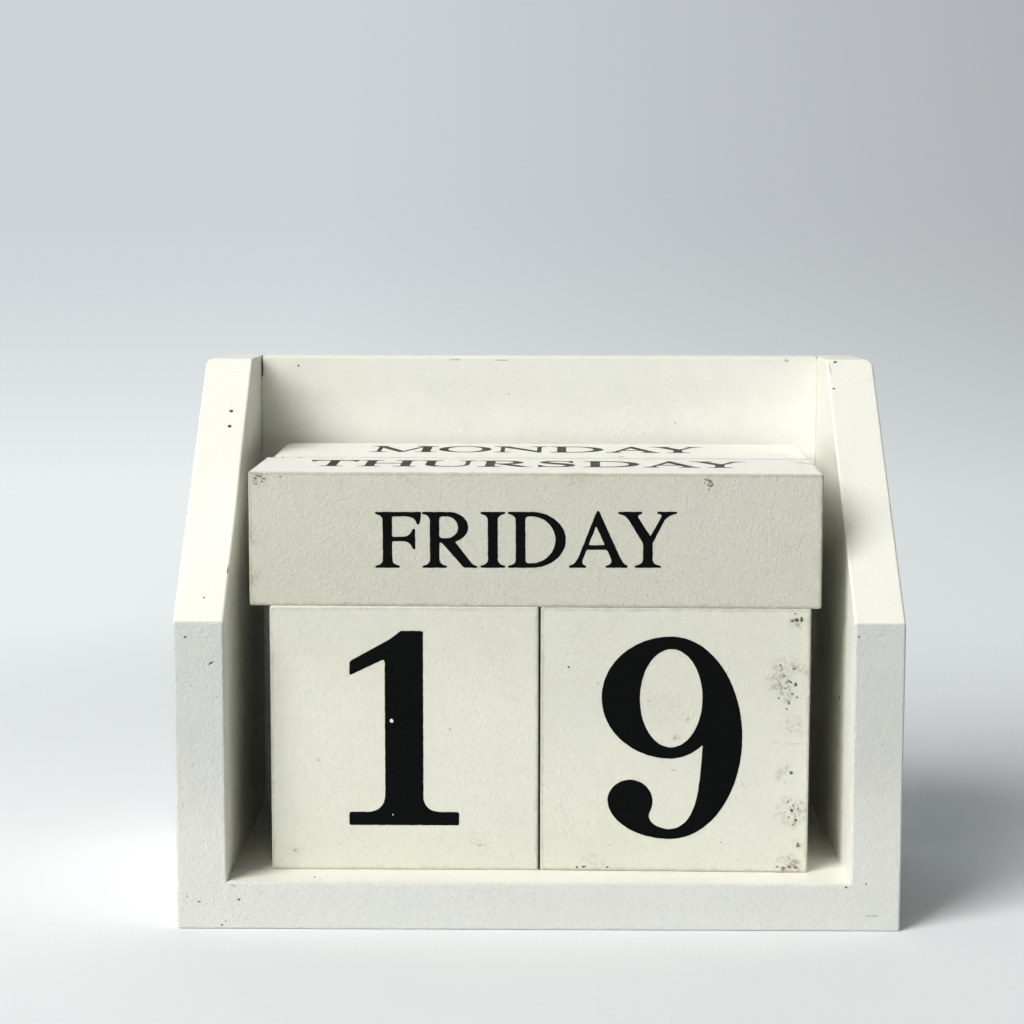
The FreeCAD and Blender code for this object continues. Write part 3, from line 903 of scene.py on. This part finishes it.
figures = {
    "tens_cube": [("front", "1", 14.6, 8.6), ("top", "2", 12.3, 6.7), ("back", "0", 11.9, 6.5),
                  ("left", "3", 12.6, 6.4), ("right", "4", 11.4, 6.9), ("bottom", "5", 12.5, 6.6)],
    "units_cube": [("front", "9", 11.37, 7.0), ("top", "0", 11.9, 6.6), ("back", "7", 12.2, 6.4),
                   ("left", "8", 12.3, 6.7), ("right", "1", 14.8, 6.5), ("bottom", "2", 12.1, 6.8)],
}


def inkFinish(name, block):
    f = Finish(name, block.centre, -block.turn)
    patches = f.noise("inkPatches")
    worn = f.maths("MULTIPLY", f.ramp(patches, *patterns["inkPatches"][1]), f.stretched("inkPores"))
    colour, rough = f.mix(worn, paint["ink"], paint["rubbedInk"]), f.ramp(patches, *printLook["gloss"])
    return f.surface(colour, rough, skinHeight(f, "ink"), printLook["specular"],
                     strength=printLook["strength"])


def addPrint():
    for node, block in blocks.items():
        work, seed = Print(), 0
        for side, word, baseline, tiltDegrees, starts in words.get(node, []):
            tilt = math.radians(tiltDegrees)
            for letter, start in zip(word, starts):
                seed += 1
                up = baseline + (start - starts[0]) * math.tan(tilt)
                printGlyph(work, block.face(side), letter, start, up, seed, tilt)
        for side, figure, right, up in figures.get(node, []):
            seed += 1
            printGlyph(work, block.face(side), figure, right, up, seed)
        work.finish(node + "_print", inkFinish(node + "Ink", block), block.body)
        print(node, "printed:", len(work.faces), "faces")


addPrint()

# The sides go from one tone to the other between two heights, counted from the
# block's middle, as painted shade that changes with height, and the edges are rubbed to a share of grime.
# Each stain is a place on a face, a radius and a strength, and a tone if it isn't grime.
blockLooks = {
    "tens_cube": {
        "skin": "cube", "warmth": 0.6, "sides": ("cream", "heightShade"), "heightShade": (10, 30), "edge": 0.3,
        "stains": {
            "front": [(4.3, 3.7, 2.6, 0.45, "dull"), (39.1, 4.8, 2.8, 0.4, "dull"),
                      # a large paler, warmer patch low on the front
                      (25.0, 6.0, 16.0, 0.4, "paleWarm")],
            "right": [(30.0, 20.0, 9.0, 0.3)],
            "back": [(12.0, 9.0, 6.0, 0.3)],
            "top": [(40.0, 8.0, 7.0, 0.25)],
        },
    },
    "units_cube": {
        "skin": "cube", "warmth": 0.6, "sides": ("cream", "heightShade"), "heightShade": (-8, 22), "edge": 0.4,
        "stains": {
            "front": [(47.5, 47.9, 2.3, 0.95), (46.0, 36.5, 5.6, 0.85), (46.9, 28.0, 3.5, 0.4),
                      (45.6, 18.6, 2.8, 0.65), (46.9, 11.5, 4.2, 0.9), (48.2, 5.4, 1.6, 0.9),
                      (46.3, 1.0, 3.6, 1.0), (9.8, 0.5, 3.4, 0.7), (25.1, 25.7, 1.8, 0.5),
                      (36.0, 18.0, 9.0, 0.3, "dull"), (22.0, 33.0, 8.0, 0.4, "dull"),
                      (12.0, 44.0, 11.0, 0.35, "dull")],
            "right": [(8.0, 30.0, 9.0, 0.4)],
            "back": [(38.0, 12.0, 7.0, 0.3)],
        },
    },
    "front_day_bar": {
        "skin": "bar", "warmth": 0.7, "sides": ("drab", "drab"), "heightShade": (0, 9), "edge": 0.45,
        "stains": {
            "front": [(2.0, 23.8, 2.4, 0.7), (0.8, 13.0, 3.4, 0.5), (0.6, 5.5, 2.6, 0.45),
                      (84.8, 23.7, 1.2, 0.9), (30.0, 24.6, 3.5, 0.4), (60.0, 24.7, 4.0, 0.35)],
            "top": [(103.4, 19.0, 4.6, 0.45, "dull"), (4.5, 24.6, 3.6, 0.5)],
            "right": [(12.0, 8.0, 7.0, 0.4)],
            "left": [(12.0, 15.0, 6.0, 0.4)],
        },
    },
    "rear_day_bar": {
        "skin": "bar", "warmth": 0.5, "sides": ("drab", "heightShade"), "heightShade": (0, 9), "edge": 0.35,
        "stains": {
            "top": [(68.0, 2.1, 1.4, 0.6), (99.0, 6.0, 5.0, 0.35, "dull")],
            "left": [(10.0, 12.0, 6.0, 0.4)],
            "rolledBack": [(40.0, 12.0, 8.0, 0.25)],
        },
    },
}


def dress(node, material):
    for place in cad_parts[node].material_slots:
        place.material = material


holderFinish = holderPaint("ivoryHolderPaint")
for node in ("left_side_board", "right_side_board", "floor_board"):
    dress(node, holderFinish)
dress("back_board", holderPaint("paleBackPaint", panel=True))
for node, look in blockLooks.items():
    dress(node, blockPaint(node + "Paint", blocks[node], look))
print("paint is on")

# The brads, their filler, and the specks that years of handling leave.

brads = {
    "steel": (0.42, 0.42, 0.43),
    "tarnish": (0.20, 0.14, 0.09),
    "tarnished": 0.6,          # how much of it the spots have
    "spotRoughness": 0.3,      # added where they are
    "lineHeight": 0.01,        # millimetres, of the lines that wire drawing leaves
}


def bradSteel():
    f = Finish("drawnBradSteel")
    spots, lines = f.stretched("tarnish"), f.noise("drawnLines")
    colour = f.mix(f.maths("MULTIPLY", spots, brads["tarnished"]), brads["steel"], brads["tarnish"])
    gloss = f.ramp(lines, *patterns["drawnLines"][1])
    rough = f.maths("MULTIPLY_ADD", spots, brads["spotRoughness"], gloss)
    return f.surface(colour, rough, f.maths("MULTIPLY", lines, brads["lineHeight"]), metal=1.0)


steelFinish, fillerFinish = bradSteel(), holderPaint("filledHolderPaint", relief=0.5)
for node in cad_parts:
    if node.endswith("_brads"):
        dress(node, steelFinish)
    if node.endswith("_filler"):
        dress(node, fillerFinish)


class Tree(Graph):
    # a Geometry Nodes tree with named inputs, and what it takes to run it
    def __init__(self, name, inputs):
        super().__init__(bpy.data.node_groups.new(name, "GeometryNodeTree"))
        for label, kind in {"Geometry": "Geometry", "Material": "Material", **inputs}.items():
            self.tree.interface.new_socket(label, in_out="INPUT", socket_type="NodeSocket" + kind)
        self.tree.interface.new_socket("Geometry", in_out="OUTPUT", socket_type="NodeSocketGeometry")
        self.given = self.tree.nodes.new("NodeGroupInput").outputs
        self.result = self.tree.nodes.new("NodeGroupOutput").inputs[0]

    def finish(self, **sockets):
        shown = self.add("GeometryNodeInstanceOnPoints", {k.replace("_", " "): v for k, v in sockets.items()})
        real = self.add("GeometryNodeRealizeInstances", {0: shown.outputs[0]}).outputs[0]
        coated = self.add("GeometryNodeSetMaterial", {"Geometry": real, "Material": self.given["Material"]})
        self.put(self.result, coated.outputs[0])
        return self

    def run(self, name, mesh, body, slot, values):
        # works on a mesh of its own, and leaves one plain mesh
        rough = addObject(name + "Rough", mesh)
        modifier = rough.modifiers.new("tree", "NODES")
        modifier.node_group = self.tree
        for item in self.tree.interface.items_tree:
            if item.in_out == "INPUT" and item.name in values:
                modifier[item.identifier] = values[item.name]
        seen = rough.evaluated_get(bpy.context.evaluated_depsgraph_get())
        plain = bpy.data.meshes.new_from_object(seen)
        plain.name = name
        rough.modifiers.remove(modifier)
        bpy.data.objects.remove(rough)
        addPiece(name, plain, body)


flecks = {
    "thickness": 0.07,         # millimetres, half of it above the paint
    "raggedness": 1.5,
    "shapes": 6,               # different outlines, and what sets them apart
    "shapeShift": 3.7,
    "corners": 12,
    "wobble": 1.4,             # how often an outline goes in and out
    "tones": {"dark": (84, 79, 69), "brown": (116, 108, 94), "grey": (168, 165, 151),
              "pale": (206, 205, 192)},
    "lighter": 1.9,            # times the tone, in its palest spots
    "roughness": (0.65, 0.85),
    "specular": 0.25,
    "bumpHeight": 0.02,
}


def fleckTree():
    # a ragged lozenge on each point, turned and sized by the point's own values
    t = Tree("placedFlecks", {"Raggedness": "Float"})
    shapes = t.add("GeometryNodeJoinGeometry")
    cylinder = {"Vertices": flecks["corners"], "Radius": 1.0, "Depth": 2.0}
    for number in range(flecks["shapes"]):
        shift = (0, 0, flecks["shapeShift"] * number)
        lozenge = t.add("GeometryNodeMeshCylinder", cylinder).outputs["Mesh"]
        here = t.add("GeometryNodeInputPosition").outputs[0]
        flat = t.add("VectorMath", {0: here, 1: (1, 1, 0)}, operation="MULTIPLY").outputs[0]
        spot = t.add("VectorMath", {0: flat, 1: shift}, operation="ADD").outputs[0]
        noise = t.add("TexNoise", {"Vector": spot, "Scale": flecks["wobble"], "Detail": 2.0})
        push = t.maths("MULTIPLY", t.maths("ADD", noise.outputs["Fac"], -0.5), t.given["Raggedness"])
        moved = t.add("VectorMath", {0: flat, "Scale": push}, operation="SCALE").outputs[0]
        piece = t.add("GeometryNodeSetPosition", {"Geometry": lozenge, "Offset": moved}).outputs[0]
        t.put(shapes.inputs[0], t.add("GeometryNodeGeometryToInstance", {0: piece}).outputs[0])
    turn, size = (t.add("GeometryNodeInputNamedAttribute", {"Name": name}, data_type="FLOAT_VECTOR")
                  for name in ("turn", "size"))
    index = t.add("GeometryNodeInputIndex").outputs[0]
    return t.finish(Points=t.given["Geometry"], Instance=shapes.outputs[0], Pick_Instance=True,
                    Instance_Index=index, Rotation=turn.outputs[0], Scale=size.outputs[0])


nibs = {
    # how many, half across in millimetres, and the seed that places them
    "nibs": {"perSquareCentimetre": 1.6, "smallest": 0.10, "largest": 0.26, "seed": 10},
    "dust": {"perSquareCentimetre": 0.12, "smallest": 0.06, "largest": 0.16, "seed": 50},
    "flatness": 0.10,
    "lowestFacing": -0.5,      # none on faces that look further down
    "clearOfFoot": 0.6,        # millimetres above each body's underside, so that none hangs under it
}


def nibTree():
    # low round lumps, where dust has dried into the paint
    t = Tree("scatteredNibs", {"Per Square Metre": "Float", "Smallest": "Float", "Largest": "Float",
                               "Flatness": "Float", "Seed": "Int", "Lowest": "Float"})
    facing = t.parts(t.add("GeometryNodeInputNormal").outputs[0])[2]
    spread = t.add("GeometryNodeDistributePointsOnFaces", {
        "Mesh": t.given["Geometry"], "Selection": t.maths("GREATER_THAN", facing, nibs["lowestFacing"]),
        "Density": t.given["Per Square Metre"], "Seed": t.given["Seed"]})
    height = t.parts(t.add("GeometryNodeInputPosition").outputs[0])[2]
    low = t.maths("LESS_THAN", height, t.given["Lowest"])
    kept = t.add("GeometryNodeDeleteGeometry", {0: spread.outputs[0], 1: low}, domain="POINT").outputs[0]
    sizes = {2: t.given["Smallest"], 3: t.given["Largest"], 8: t.given["Seed"]}
    size = t.add("FunctionNodeRandomValue", sizes).outputs[1]
    scale = t.add("CombineXYZ", {0: size, 1: size, 2: t.maths("MULTIPLY", size, t.given["Flatness"])})
    lump = t.add("GeometryNodeMeshIcoSphere", {"Radius": 1.0, "Subdivisions": 2}).outputs["Mesh"]
    return t.finish(Points=kept, Instance=lump, Rotation=spread.outputs["Rotation"], Scale=scale.outputs[0])


def fleckFinish(tone):
    f = Finish(tone + "Fleck")
    colour, uneven = fromScreen(*flecks["tones"][tone]), f.stretched("fleckTone")
    pale = tuple(min(1.0, flecks["lighter"] * c) for c in colour)
    height = f.maths("MULTIPLY", f.noise("fleckBumps"), flecks["bumpHeight"])
    rough = f.ramp(uneven, 0.0, 1.0, *flecks["roughness"])
    return f.surface(f.mix(uneven, colour, pale), rough, height, flecks["specular"])


def holderFaces():
    left, right = (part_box(node)[0] / mm for node in ("left_side_board", "right_side_board"))
    bay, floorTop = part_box("left_side_board")[1].x / mm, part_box("floor_board")[1].z / mm
    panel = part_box("back_board")[0].y / mm
    x, y, z = Vector((1, 0, 0)), Vector((0, 1, 0)), Vector((0, 0, 1))
    return {
        "leftSlope": slopeFace("left_side_board"),
        "rightSlope": slopeFace("right_side_board"),
        "leftFront": (left, x, z, -y),
        "rightFront": (right, x, z, -y),
        "panel": (Vector((bay, panel, floorTop)), x, z, -y),
        "rightInside": (Vector((right.x, left.y, floorTop)), y, z, -x),
        "floorTop": (Vector((bay, left.y, floorTop)), x, y, z),
    }


# A mark is a place on a face, a width and a height, and a turn in degrees if it has one.
marks = {
    "holder": {
        "dark": {
            "leftSlope": [(5.2, 6.0, 0.35, 0.35), (9.0, 12.5, 0.2, 2.0)],
            "panel": [(7.7, 91.6, 0.45, 0.4), (51.2, 85.8, 0.25, 0.22), (85.6, 79.9, 0.22, 0.25)],
            "rightSlope": [(0.9, 58.9, 0.5, 0.4, 20), (1.8, 66.2, 0.8, 0.5, 15)],
            "leftFront": [(2.3, 54.7, 0.5, 0.42), (6.95, 49.9, 1.2, 0.3, 32), (1.9, 6.2, 0.3, 0.28),
                          (4.1, 5.2, 0.7, 0.22, 5), (11.5, 5.6, 0.5, 0.4, 30), (8.3, 0.8, 0.4, 0.3),
                          (9.0, 1.5, 0.3, 0.25)],
            "rightFront": [(-0.75, 8.4, 0.5, 0.35), (2.9, 9.0, 0.35, 0.32), (0.7, 55.1, 0.4, 0.3)],
            "rightInside": [(19.3, 31.0, 0.5, 0.8)],
            "floorTop": [(15.9, 3.3, 0.4, 0.5), (17.1, 1.4, 0.3, 0.4)],
        },
        "grey": {
            "panel": [(40.1, 92.9, 2.6, 0.28, 1), (49.7, 92.8, 2.8, 0.24, -1), (108.4, 92.8, 1.0, 0.6)],
            "rightSlope": [(0.6, 64.4, 0.25, 3.2, 4)],
            "rightFront": [(4.0, 3.0, 2.6, 0.35, 3), (4.7, 55.4, 0.7, 0.3, 15), (5.1, 53.4, 0.5, 0.3, -20)],
            "leftFront": [(3.4, 31.0, 0.9, 0.3, 40), (10.4, 8.3, 1.6, 0.3, -14)],
        },
    },
    "tens_cube": {
        "pale": {"front": [(22.6, 28.5, 0.65, 0.75, 20), (22.8, 10.6, 0.22, 0.26)]},
        "grey": {"front": [(4.3, 3.7, 0.9, 0.6, 20), (39.1, 4.8, 0.8, 0.5), (33.5, 27.0, 0.5, 0.35, 40),
                           (9.0, 21.0, 0.4, 0.3)]},
    },
    "units_cube": {
        "dark": {"front": [
            (47.3, 47.9, 0.9, 0.7, 10), (46.5, 47.7, 0.6, 0.45), (48.2, 48.0, 0.6, 0.9),
            (47.0, 49.1, 0.35, 0.3), (46.7, 19.1, 0.7, 0.6), (46.9, 11.9, 0.5, 0.7, 30),
            (47.7, 10.1, 0.6, 0.5), (46.3, 36.3, 0.9, 0.4, -30), (47.3, 35.8, 0.6, 0.7),
            (8.2, 0.8, 0.9, 0.35), (6.9, 0.7, 0.5, 0.35), (12.6, 0.75, 0.5, 0.3), (5.2, 38.8, 0.4, 0.4)]},
        "brown": {"front": [
            (44.4, 39.4, 0.5, 0.35), (47.0, 38.8, 0.7, 0.5, 20), (45.1, 37.5, 0.4, 0.5),
            (45.4, 35.1, 0.5, 0.4), (46.7, 34.0, 0.6, 0.5, 40), (44.2, 33.2, 0.4, 0.4),
            (46.1, 32.4, 0.5, 0.8), (47.6, 33.4, 0.4, 0.5), (45.7, 31.2, 0.5, 0.3), (46.2, 13.6, 0.4, 0.6),
            (47.2, 12.9, 0.35, 0.5), (46.4, 10.6, 0.35, 0.4), (48.1, 12.2, 0.3, 0.5),
            (47.2, 9.2, 0.4, 0.35), (48.2, 5.3, 0.8, 0.85), (44.4, 1.1, 0.7, 0.35), (45.5, 0.9, 0.9, 0.5),
            (46.6, 1.1, 0.8, 0.6), (47.8, 1.0, 0.9, 0.5)]},
        "grey": {"front": [
            (46.9, 24.6, 3.8, 0.13, 1), (43.9, 24.8, 1.5, 0.12, -4), (25.1, 25.6, 1.0, 0.8, 20),
            (44.5, 18.1, 0.5, 0.4), (45.5, 17.3, 0.4, 0.3), (27.4, 29.1, 0.9, 0.3, 60),
            (20.3, 32.6, 0.7, 0.4, 30), (25.0, 19.4, 1.3, 0.25, -10), (43.3, 37.6, 0.8, 0.5),
            (42.6, 34.9, 0.6, 0.4)]},
    },
    "front_day_bar": {
        "dark": {
            "front": [(1.4, 23.8, 0.5, 0.35), (3.0, 23.7, 0.6, 0.3), (2.6, 23.2, 0.4, 0.3),
                      (1.5, 22.7, 0.4, 0.3), (2.0, 24.2, 1.4, 0.2, -14), (6.0, 24.1, 0.5, 0.2),
                      (85.3, 22.7, 0.35, 0.4, 10)],
            "top": [(1.9, 24.3, 0.4, 0.5), (3.4, 24.4, 0.5, 0.6), (6.8, 24.4, 0.6, 0.7)],
        },
        "brown": {"front": [
            (84.5, 23.9, 0.75, 0.4, -20), (85.2, 23.6, 0.7, 0.75, 30), (85.6, 23.0, 0.5, 0.7),
            (84.9, 22.9, 0.5, 0.4, 40), (84.2, 23.3, 0.3, 0.3), (85.0, 22.1, 0.3, 0.35)]},
        "grey": {
            "front": [(0.9, 14.2, 0.7, 1.1), (1.3, 11.4, 0.6, 0.8, 20)],
            "top": [(103.3, 19.2, 7.5, 0.35, -56), (104.4, 18.3, 4.6, 0.25, -56)],
        },
    },
    "rear_day_bar": {"dark": {"top": [(68.2, 2.1, 0.9, 0.4)]}},
}


def carrier(owner):
    # the body that its marks ride on, and the slot of their paint
    return (blocks[owner].body, "block_paint") if owner in blocks else ("holder", "holder_paint")


def placeMarks():
    tree, finishes = fleckTree(), {tone: fleckFinish(tone) for tone in flecks["tones"]}
    onHolder = holderFaces()
    for owner, tones in marks.items():
        for tone, sides in tones.items():
            turns, sizes, places = [], [], []
            for side, rows in sides.items():
                face = blocks[owner].face(side) if owner in blocks else onHolder[side]
                origin, across, upwards, outwards = face
                lie = Matrix((upwards.cross(outwards), upwards, outwards)).transposed()
                for right, up, width, height, *turnDegrees in rows:
                    turn = math.radians(turnDegrees[0] if turnDegrees else 0)
                    places.append((origin + across * right + upwards * up) * mm)
                    turns += (lie @ Matrix.Rotation(turn, 3, "Z")).to_euler()
                    sizes += [mm * width / 2, mm * height / 2, mm * flecks["thickness"] / 2]
            mesh = bpy.data.meshes.new(owner + "Points")
            mesh.from_pydata(places, [], [])
            for name, values in (("turn", turns), ("size", sizes)):
                mesh.attributes.new(name, "FLOAT_VECTOR", "POINT").data.foreach_set("vector", values)
            tree.run(owner + "_marks_" + tone, mesh, *carrier(owner),
                     {"Raggedness": flecks["raggedness"], "Material": finishes[tone]})
    print("marks placed")


placeMarks()


def skinOf(nodes):
    # one loose mesh of a body's own faces
    joined = bmesh.new()
    for node in nodes:
        joined.from_mesh(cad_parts[node].data)
    mesh = bpy.data.meshes.new(nodes[0] + "Skin")
    joined.to_mesh(mesh)
    joined.free()
    return mesh


def scatterNibs():
    tree, dust = nibTree(), fleckFinish("dark")
    bodies = {"holder": ("left_side_board", "right_side_board", "floor_board", "back_board")}
    bodies.update({node: (node,) for node in blocks})
    for number, (owner, nodes) in enumerate(bodies.items()):
        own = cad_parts[nodes[0]].material_slots[0].material
        for kind, material in (("nibs", own), ("dust", dust)):
            look = nibs[kind]
            tree.run(owner + "_" + kind, skinOf(nodes), *carrier(owner), {
                "Per Square Metre": look["perSquareCentimetre"] * 10000, "Smallest": mm * look["smallest"],
                "Largest": mm * look["largest"], "Flatness": nibs["flatness"], "Seed": look["seed"] + number,
                "Lowest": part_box(nodes[0])[0].z + mm * nibs["clearOfFoot"], "Material": material})
    print("nibs and dust scattered")


scatterNibs()
